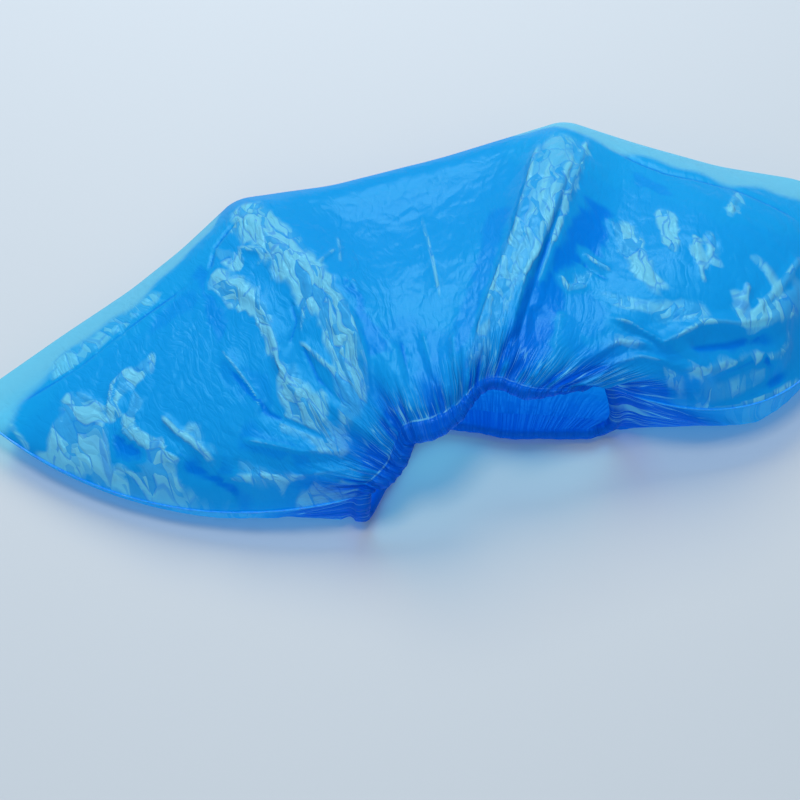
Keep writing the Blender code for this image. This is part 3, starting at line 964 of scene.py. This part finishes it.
def end_seam(name, around, node, finish):
    """The hot-cut seam that closes one end: a thin melted edge with small runs in it."""
    own = settings()
    down = np.linspace(0.0, SEAM_END, SEAM_STEPS)
    place = np.full_like(down, around)
    ways = film_normals(place, down)
    spots = film_points(place, down)
    side = of_length_one(np.cross(of_length_one(np.gradient(spots, axis=0)), ways))
    chance = np.random.default_rng(own.seed + len(name))
    rough = chance.normal(size=SEAM_STEPS + LUMP_STEPS - 1)
    lumps = np.convolve(rough, np.ones(LUMP_STEPS) / LUMP_STEPS, "valid")
    steps = np.arange(SEAM_STEPS)
    taper = np.minimum(1.0, np.minimum(steps, SEAM_STEPS - 1 - steps) / TAPER_STEPS + TAPER_START)
    radii = (own.seam_radius * (1.0 + SEAM_LUMPS * lumps) * taper)[:, None] * np.ones(SEAM_SIDES)
    centres = spots + ways * (own.seam_radius * SEAM_LIFT)
    out, across = SEAM_FLATNESS
    data = tube_mesh(name, centres, ways * out, side * across, radii, SEAM_SIDES)
    close_doubles(data)
    made = link_piece(name, data, finish)
    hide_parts(node)
    return made


def add_node(tree, kind, place, **values):
    """A shader node with its properties set."""
    made = tree.nodes.new(kind)
    made.location = place
    for name, value in values.items():
        setattr(made, name, value)
    return made


def feed(tree, socket, value):
    """Gives a socket its value: another socket, a number or a colour."""
    if isinstance(value, bpy.types.NodeSocket):
        tree.links.new(value, socket)
    elif isinstance(value, (int, float)):
        socket.default_value = value
    else:
        socket.default_value = (*value, 1.0)


def attribute(tree, name, place):
    """A value that the mesh holds for each vertex."""
    return add_node(tree, "ShaderNodeAttribute", place, attribute_name=name).outputs["Fac"]


def maths(tree, operation, first, second, place, third=0.0):
    """A maths node on sockets or numbers. The third is what MULTIPLY_ADD adds."""
    made = add_node(tree, "ShaderNodeMath", place, operation=operation)
    for socket, value in zip(made.inputs, (first, second, third)):
        feed(tree, socket, value)
    return made.outputs[0]


def ramp(tree, value, low, high, place):
    """Nought below low and one above high, eased between."""
    made = add_node(tree, "ShaderNodeMapRange", place, interpolation_type="SMOOTHSTEP")
    tree.links.new(value, made.inputs["Value"])
    made.inputs["From Min"].default_value = low
    made.inputs["From Max"].default_value = high
    return made.outputs["Result"]


def mix_colour(tree, factor, first, second, place):
    """A colour mixed from two sockets or colours."""
    made = add_node(tree, "ShaderNodeMix", place, data_type="RGBA")
    for socket, value in ((0, factor), (6, first), (7, second)):
        feed(tree, made.inputs[socket], value)
    return made.outputs[2]


def add_bump(tree, height, strength, distance, place):
    """A bump of a height's texture."""
    made = add_node(tree, "ShaderNodeBump", place)
    made.inputs["Strength"].default_value = strength
    made.inputs["Distance"].default_value = distance
    tree.links.new(height, made.inputs["Height"])
    return made.outputs["Normal"]


def crinkle_group():
    """Small sharp facets and fine stretch lines in thin film: a height, a random tone for
    each facet, and the lines."""
    tree = bpy.data.node_groups.new("film_crinkle", "ShaderNodeTree")
    tree.interface.new_socket(name="Place", in_out="INPUT", socket_type="NodeSocketVector")
    cell = tree.interface.new_socket(name="Cells", in_out="INPUT", socket_type="NodeSocketFloat")
    cell.default_value = 150.0
    for name in ("Height", "Tone", "Lines", "Streaks"):
        tree.interface.new_socket(name=name, in_out="OUTPUT", socket_type="NodeSocketFloat")
    start = add_node(tree, "NodeGroupInput", (-1300, 0))
    end = add_node(tree, "NodeGroupOutput", (700, 0))
    long = add_node(tree, "ShaderNodeMapping", (-750, 300))
    long.inputs["Scale"].default_value = (1.0, 0.42, 1.0)
    tree.links.new(start.outputs["Place"], long.inputs["Vector"])
    nearest = add_node(tree, "ShaderNodeTexVoronoi", (-600, 200), feature="F1")
    second = add_node(tree, "ShaderNodeTexVoronoi", (-600, -100), feature="F2")
    for made in (nearest, second):
        tree.links.new(long.outputs["Vector"], made.inputs["Vector"])
        tree.links.new(start.outputs["Cells"], made.inputs["Scale"])
    far = maths(tree, "POWER", second.outputs["Distance"], 2.0, (-350, -100))
    close = maths(tree, "POWER", nearest.outputs["Distance"], 2.0, (-350, 200))
    tree.links.new(maths(tree, "SUBTRACT", far, close, (-100, 0)), end.inputs["Height"])
    rim = add_node(tree, "ShaderNodeTexVoronoi", (-600, 600), feature="DISTANCE_TO_EDGE")
    tree.links.new(long.outputs["Vector"], rim.inputs["Vector"])
    tree.links.new(start.outputs["Cells"], rim.inputs["Scale"])
    tree.links.new(ramp(tree, rim.outputs["Distance"], 0.07, 0.015, (-350, 600)), end.inputs["Lines"])
    parts = add_node(tree, "ShaderNodeSeparateColor", (-350, 400))
    tree.links.new(nearest.outputs["Color"], parts.inputs["Color"])
    tree.links.new(parts.outputs[0], end.inputs["Tone"])
    stretch = add_node(tree, "ShaderNodeMapping", (-600, -400))
    stretch.inputs["Scale"].default_value = (700.0, 45.0, 45.0)
    tree.links.new(start.outputs["Place"], stretch.inputs["Vector"])
    lines = add_node(tree, "ShaderNodeTexNoise", (-350, -400))
    lines.inputs["Scale"].default_value = 1.0
    lines.inputs["Detail"].default_value = 3.0
    tree.links.new(stretch.outputs["Vector"], lines.inputs["Vector"])
    tree.links.new(lines.outputs["Fac"], end.inputs["Streaks"])
    return tree


def place_crinkle(tree, crinkle, vector, cells, place):
    """A crinkle group fed with a place on the piece."""
    made = add_node(tree, "ShaderNodeGroup", place)
    made.node_tree = crinkle
    made.inputs["Cells"].default_value = cells
    tree.links.new(vector, made.inputs["Place"])
    return made


def new_material(name):
    """A new material, its node tree, its shader and its output."""
    made = bpy.data.materials.new(name)
    made.use_nodes = True
    tree = made.node_tree
    return made, tree, tree.nodes["Principled BSDF"], tree.nodes["Material Output"]


def film_material(crinkle):
    """Thin glossy blue film: hazy, deeper in colour where it is gathered, paler where it is creased, with
    painted highlight on facets, pleat crests and the hem's edge, painted shade in valleys, pockets and
    crease lines, and painted light shining through along the sole fold.
    """
    own = bpy.context.scene.shoe_cover_finish
    made, tree, shader, output = new_material("blue_film")
    flat = add_node(tree, "ShaderNodeUVMap", (-2300, -800), uv_map="crinkles").outputs["UV"]
    tone = attribute(tree, "tone", (-2300, 200))
    gather = attribute(tree, "gathered", (-2300, 0))
    pleating = attribute(tree, "pleating", (-2300, -200))
    hem = attribute(tree, "hem", (-2300, -400))
    strip = attribute(tree, "strip", (-2300, -600))
    fan = add_node(tree, "ShaderNodeUVMap", (-2300, -1200), uv_map="gathers").outputs["UV"]
    gathers = place_crinkle(tree, crinkle, fan, GATHER_CELLS, (-2000, -1200)).outputs
    large = place_crinkle(tree, crinkle, flat, LARGE_CELLS, (-2000, -700)).outputs
    small = place_crinkle(tree, crinkle, flat, SMALL_CELLS, (-2000, -950)).outputs

    # Pale patches, broken up facet by facet: partly crumpled film, partly painted highlight where facets
    # would catch the light.
    facets = maths(tree, "MULTIPLY", large["Tone"], 0.62, (-1800, -500))
    facets = maths(tree, "MULTIPLY_ADD", small["Tone"], 0.38, (-1600, -500), facets)
    bright = ramp(tree, facets, 0.36, 0.5, (-1400, -500))
    some = ramp(tree, tone, 0.08, 0.75, (-1400, 400))
    share = maths(tree, "MULTIPLY_ADD", bright, 0.75, (-1200, -400), 0.22)
    pale = maths(tree, "MULTIPLY", some, share, (-1200, 250))
    colour = mix_colour(tree, pale, own.film_colour, own.crease_and_highlight_colour, (-1000, 300))
    # Deep patches: partly film lying double, partly painted shade in valleys and pockets.
    deep = ramp(tree, tone, -0.1, -0.95, (-1200, 50))
    colour = mix_colour(tree, deep, colour, own.double_and_shade_colour, (-800, 300))
    # Paler strip along the sole fold: partly clearer film, partly painted light shining through from
    # behind.
    single_and_backlit = maths(tree, "MULTIPLY", strip, 0.9, (-800, 600))
    colour = mix_colour(tree, single_and_backlit, colour, own.sole_and_backlight_colour, (-600, 300))

    # Painted shade along the crease lines between facets in the pale patches.
    lines = maths(tree, "MULTIPLY", some, 0.5, (-900, 800))
    lines = maths(tree, "MULTIPLY", large["Lines"], lines, (-700, 800))
    broken = ramp(tree, small["Tone"], 0.3, 0.5, (-700, 950))
    crease_line_shade = maths(tree, "MULTIPLY", lines, broken, (-500, 800))
    colour = mix_colour(tree, crease_line_shade, colour, own.double_and_shade_colour, (-500, 400))

    # Gathered layers deepen the colour, and pleat valleys add painted shade on top of it.
    valley = ramp(tree, pleating, 0.6, -1.2, (-1200, -200))
    dark = maths(tree, "ADD", valley, 0.45, (-1000, -200))
    dark = maths(tree, "MULTIPLY", gather, dark, (-800, -100))
    dark = maths(tree, "MINIMUM", dark, 0.92, (-600, -100))
    colour = mix_colour(tree, dark, colour, own.gather_colour, (-400, 300))

    # Painted highlight along the pleat crests by the mouth, left out of the deepest valleys.
    crest = gathers["Lines"]
    for step, part in enumerate((
        ramp(tree, gather, 0.3, 0.8, (-700, 1100)),
        ramp(tree, gathers["Tone"], 0.35, 0.7, (-700, 1250)),
        ramp(tree, pleating, -1.9, -1.0, (-700, 1400)),
        0.75,
    )):
        crest = maths(tree, "MULTIPLY", crest, part, (-500 + 80 * step, 1100))
    colour = mix_colour(tree, crest, colour, own.crease_and_highlight_colour, (-300, 500))
    turned = maths(tree, "MULTIPLY", hem, 0.9, (-400, 0))
    colour = mix_colour(tree, turned, colour, own.hem_colour, (-200, 300))
    # Painted highlight along the upper edge of the hem roll, broken up by the facets.
    rim = ramp(tree, attribute(tree, "rim", (-2300, -1000)), 0.35, 0.95, (-300, 900))
    broken = ramp(tree, small["Tone"], 0.3, 0.6, (-500, 950))
    broken = maths(tree, "MULTIPLY_ADD", broken, 0.5, (-200, 950), 0.25)
    rim = maths(tree, "MULTIPLY", rim, broken, (-100, 900))
    colour = mix_colour(tree, rim, colour, own.crease_and_highlight_colour, (0, 500))
    tree.links.new(colour, shader.inputs["Base Color"])

    rough = maths(tree, "MULTIPLY_ADD", some, -0.1, (-400, -300), own.film_roughness)
    tree.links.new(rough, shader.inputs["Roughness"])
    shader.inputs["Specular IOR Level"].default_value = 0.33
    shader.inputs["Specular Tint"].default_value = (0.15, 0.8, 1.0, 1.0)

    depth = maths(tree, "MULTIPLY_ADD", pale, 0.75, (-1000, -700), 0.25)
    height = maths(tree, "MULTIPLY_ADD", small["Height"], 0.4, (-1200, -900), large["Height"])
    height = maths(tree, "MULTIPLY", height, depth, (-800, -800))
    ribs = ramp(tree, gather, 0.1, 0.7, (-900, -1200))
    ribs = maths(tree, "MULTIPLY", gathers["Height"], ribs, (-700, -1200))
    ribs = maths(tree, "MULTIPLY", ribs, 0.6, (-600, -1200))
    height = maths(tree, "ADD", height, ribs, (-700, -950))
    normal = add_bump(tree, height, 0.9, 0.0008, (-400, -700))
    tree.links.new(normal, shader.inputs["Normal"])

    through_film = add_node(tree, "ShaderNodeBsdfTranslucent", (300, -200))
    tree.links.new(colour, through_film.inputs["Color"])
    tree.links.new(normal, through_film.inputs["Normal"])
    body = add_node(tree, "ShaderNodeMixShader", (500, 0))
    body.inputs[0].default_value = 0.5
    tree.links.new(shader.outputs[0], body.inputs[1])
    tree.links.new(through_film.outputs[0], body.inputs[2])

    # Every ray but the camera's goes straight through the film, coloured by it, which keeps the
    # render short.
    clear = add_node(tree, "ShaderNodeBsdfTransparent", (500, -200))
    glass = mix_colour(tree, strip, own.tint_colour, (0.5, 0.88, 0.98), (300, 700))
    tree.links.new(glass, clear.inputs["Color"])
    seen = add_node(tree, "ShaderNodeLightPath", (100, 400)).outputs["Is Camera Ray"]
    other = maths(tree, "SUBTRACT", 1.0, seen, (300, 400))
    bare = maths(tree, "MULTIPLY_ADD", strip, 0.42, (400, 500), own.clearness)
    share = maths(tree, "MAXIMUM", other, bare, (500, 300))
    whole = add_node(tree, "ShaderNodeMixShader", (700, 0))
    tree.links.new(share, whole.inputs[0])
    tree.links.new(body.outputs[0], whole.inputs[1])
    tree.links.new(clear.outputs[0], whole.inputs[2])
    output.location = (900, 0)
    tree.links.new(whole.outputs[0], output.inputs["Surface"])
    return made


def seam_material(crinkle):
    """Melted film: the same blue, deeper and a little rough."""
    own = bpy.context.scene.shoe_cover_finish
    made, tree, shader, _ = new_material("welded_film")
    place = add_node(tree, "ShaderNodeTexCoord", (-950, 0)).outputs["Object"]
    small = place_crinkle(tree, crinkle, place, 700.0, (-700, 0))
    colour = mix_colour(tree, small.outputs["Streaks"], own.film_colour, own.gather_colour, (-400, 100))
    tree.links.new(colour, shader.inputs["Base Color"])
    shader.inputs["Roughness"].default_value = 0.3
    normal = add_bump(tree, small.outputs["Height"], 0.4, 0.0003, (-300, -200))
    tree.links.new(normal, shader.inputs["Normal"])
    return made


def elastic_material():
    """Wound yarns over rubber, dark blue and matt."""
    own = bpy.context.scene.shoe_cover_finish
    made, tree, shader, _ = new_material("elastic")
    place = add_node(tree, "ShaderNodeTexCoord", (-900, 0)).outputs["Object"]
    yarn = add_node(tree, "ShaderNodeTexNoise", (-650, 0))
    yarn.inputs["Scale"].default_value = 2500.0
    tree.links.new(place, yarn.inputs["Vector"])
    colour = mix_colour(tree, yarn.outputs["Fac"], own.elastic_colour, own.gather_colour, (-400, 100))
    tree.links.new(colour, shader.inputs["Base Color"])
    shader.inputs["Roughness"].default_value = 0.65
    normal = add_bump(tree, yarn.outputs["Fac"], 1.0, 0.0002, (-300, -200))
    tree.links.new(normal, shader.inputs["Normal"])
    return made


def floor_material():
    """A pale matt table."""
    own = bpy.context.scene.shoe_cover_stage
    made, _, shader, _ = new_material("table")
    shader.inputs["Base Color"].default_value = (*own.table_colour, 1.0)
    shader.inputs["Roughness"].default_value = 0.7
    return made


def area_light(name, place, size, power, colour):
    """A soft square light that looks at the cover."""
    data = bpy.data.lights.new(name, "AREA")
    data.size = size
    data.energy = power
    data.color = colour
    made = bpy.data.objects.new(name, data)
    made.location = place
    made.rotation_euler = (-Vector(place)).to_track_quat("-Z", "Y").to_euler()
    bpy.context.scene.collection.objects.link(made)


class ShoeCoverSettings(bpy.types.PropertyGroup):
    """Sizes of the film, its pleats and its edges."""

    columns: IntProperty(name="Columns", description="Divisions from toe to heel", default=480, min=40)
    rows: IntProperty(name="Rows", description="Divisions from sole to mouth", default=170, min=30)
    turn_steps: IntProperty(name="Hem turns", description="Divisions round the hem", default=12, min=4)
    pleats_each_side: IntProperty(
        name="Pleats a side", description="Small pleats on each side of the mouth", default=54, min=8
    )
    pleat: FloatProperty(
        name="Pleat depth", description="How deep the pleats are", default=1.0, subtype="FACTOR"
    )
    crumple: FloatProperty(
        name="Crumple", description="How strongly the film is crumpled", default=1.0, subtype="FACTOR"
    )
    hem_radius: FloatProperty(
        name="Hem radius", description="Radius of the turn round the elastic", default=0.0021, unit="LENGTH"
    )
    elastic_radius: FloatProperty(
        name="Elastic radius", description="Radius of the elastic strand", default=0.0008, unit="LENGTH"
    )
    seam_radius: FloatProperty(
        name="Seam radius", description="Radius of the melted edge", default=0.0005, unit="LENGTH"
    )
    seed: IntProperty(name="Seed", description="Picks another set of pleats and creases", default=1)


class ShoeCoverFinish(bpy.types.PropertyGroup):
    """Colours and gloss of the film."""

    film_colour: FloatVectorProperty(
        name="Film", description="Colour of the smooth film", subtype="COLOR", default=(0.010, 0.49, 0.94)
    )
    # Both the colour of crumpled film and the painted highlight on facets, pleat crests and the hem's edge.
    crease_and_highlight_colour: FloatVectorProperty(
        name="Creases", description="Colour of crumpled film", subtype="COLOR", default=(0.28, 0.92, 1.0)
    )
    # Partly the clearer film's colour, partly painted light shining through from behind.
    sole_and_backlight_colour: FloatVectorProperty(
        name="Sole fold",
        description="Colour along the sole fold",
        subtype="COLOR",
        default=(0.30, 0.84, 1.0),
    )
    # Both the colour of film lying double and the painted shade in valleys, pockets and crease lines.
    double_and_shade_colour: FloatVectorProperty(
        name="Double film",
        description="Colour where film lies double",
        subtype="COLOR",
        default=(0.0006, 0.31, 0.92),
    )
    # On the film also the painted shade in pleat valleys and inside the bag by the mouth.
    gather_colour: FloatVectorProperty(
        name="Gathers", description="Colour of layered film", subtype="COLOR", default=(0.0004, 0.17, 0.84)
    )
    hem_colour: FloatVectorProperty(
        name="Hem", description="Colour of the turned hem", subtype="COLOR", default=(0.0004, 0.17, 0.84)
    )
    elastic_colour: FloatVectorProperty(
        name="Elastic", description="Colour of the elastic", subtype="COLOR", default=(0.01, 0.10, 0.45)
    )
    tint_colour: FloatVectorProperty(
        name="Tint",
        description="Colour of light through the film",
        subtype="COLOR",
        default=(0.10, 0.54, 0.84),
    )
    film_roughness: FloatProperty(
        name="Roughness", description="How blurred the film's gloss is", default=0.25, subtype="FACTOR"
    )
    clearness: FloatProperty(
        name="Clearness", description="How much is seen through the film", default=0.13, subtype="FACTOR"
    )


class ShoeCoverStage(bpy.types.PropertyGroup):
    """The table and the light."""

    table_colour: FloatVectorProperty(
        name="Table", description="Colour of the table", subtype="COLOR", default=(0.51, 0.565, 0.615)
    )
    table_size: FloatProperty(
        name="Table size", description="Side of the table", default=8.0, unit="LENGTH"
    )
    key_power: FloatProperty(
        name="Key light", description="Power of the light above", default=6.2, unit="POWER"
    )
    back_power: FloatProperty(
        name="Back light", description="Power of the light behind", default=17.5, unit="POWER"
    )
    fill_power: FloatProperty(
        name="Fill light", description="Power of the light in front", default=3.8, unit="POWER"
    )
    sky_strength: FloatProperty(name="Sky", description="Strength of the light all round", default=0.28)


class SHOECOVER_OT_film(bpy.types.Operator):
    """Makes both sides of the film with their folds, pleats and turned hem"""

    bl_idname = "shoe_cover.film"
    bl_label = "Film"

    def execute(self, context):
        finish = film_material(crinkle_group())
        top = film_side("film_top", "top", finish)
        under = film_side("film_under", "under", finish)
        for piece in (top, under):
            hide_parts("film_bag")
        return {"FINISHED"}


class SHOECOVER_OT_elastic(bpy.types.Operator):
    """Makes the elastic strand inside the hem"""

    bl_idname = "shoe_cover.elastic"
    bl_label = "Elastic"

    def execute(self, context):
        elastic_strand(elastic_material())
        return {"FINISHED"}


class SHOECOVER_OT_seams(bpy.types.Operator):
    """Makes the melted seams that close the toe and the heel"""

    bl_idname = "shoe_cover.seams"
    bl_label = "End seams"

    def execute(self, context):
        finish = seam_material(bpy.data.node_groups["film_crinkle"])
        end_seam("toe_seam", 0.0, "toe_weld", finish)
        end_seam("heel_seam", 1.0, "heel_weld", finish)
        return {"FINISHED"}


class SHOECOVER_OT_stage(bpy.types.Operator):
    """Makes the table, the lights and the camera"""

    bl_idname = "shoe_cover.stage"
    bl_label = "Table and light"

    def execute(self, context):
        own = context.scene.shoe_cover_stage
        data, _, _ = grid_mesh("table", 1, 1)
        spots = points_of(data) * own.table_size
        spots[:, 2] = CAD_BOX[0].z
        put_points(data, spots)
        data.materials.append(floor_material())
        table = bpy.data.objects.new("table", data)
        context.scene.collection.objects.link(table)
        sky = bpy.data.worlds.new("pale_room")
        sky.use_nodes = True
        light = sky.node_tree.nodes["Background"]
        light.inputs["Color"].default_value = (*SKY_COLOUR, 1.0)
        light.inputs["Strength"].default_value = own.sky_strength
        context.scene.world = sky
        for name, place, size, colour in LIGHTS:
            area_light(name, place, size, getattr(own, name + "_power"), colour)
        lens = bpy.data.cameras.new("camera")
        lens.lens = CAMERA_LENS
        lens.sensor_width = SENSOR_WIDTH
        camera = bpy.data.objects.new("camera", lens)
        camera.location = CAMERA_PLACE
        camera.rotation_euler = (math.radians(CAMERA_TILT), 0.0, 0.0)
        context.scene.collection.objects.link(camera)
        context.scene.camera = camera
        context.scene.view_settings.view_transform = "Standard"
        return {"FINISHED"}


class SHOECOVER_PT_panel(bpy.types.Panel):
    """Lists the cover's pieces and the table"""

    bl_label = "Shoe Cover"
    bl_space_type = "VIEW_3D"
    bl_region_type = "UI"
    bl_category = "Shoe Cover"

    def draw(self, context):
        for name in ("film", "elastic", "seams", "stage"):
            self.layout.operator("shoe_cover." + name)
        for group, _ in GROUPS:
            own = getattr(context.scene, group)
            box = self.layout.box()
            for name in own.__annotations__:
                box.prop(own, name)


GROUPS = (
    ("shoe_cover", ShoeCoverSettings),
    ("shoe_cover_finish", ShoeCoverFinish),
    ("shoe_cover_stage", ShoeCoverStage),
)
CLASSES = (
    ShoeCoverSettings,
    ShoeCoverFinish,
    ShoeCoverStage,
    SHOECOVER_OT_film,
    SHOECOVER_OT_elastic,
    SHOECOVER_OT_seams,
    SHOECOVER_OT_stage,
    SHOECOVER_PT_panel,
)


def register():
    for made in CLASSES:
        bpy.utils.register_class(made)
    for name, group in GROUPS:
        setattr(bpy.types.Scene, name, PointerProperty(type=group))


def unregister():
    for name, _ in GROUPS:
        delattr(bpy.types.Scene, name)
    for made in reversed(CLASSES):
        bpy.utils.unregister_class(made)


def main():
    register()
    bpy.ops.shoe_cover.film()
    bpy.ops.shoe_cover.elastic()
    bpy.ops.shoe_cover.seams()
    bpy.ops.shoe_cover.stage()


if __name__ == "__main__":
    main()
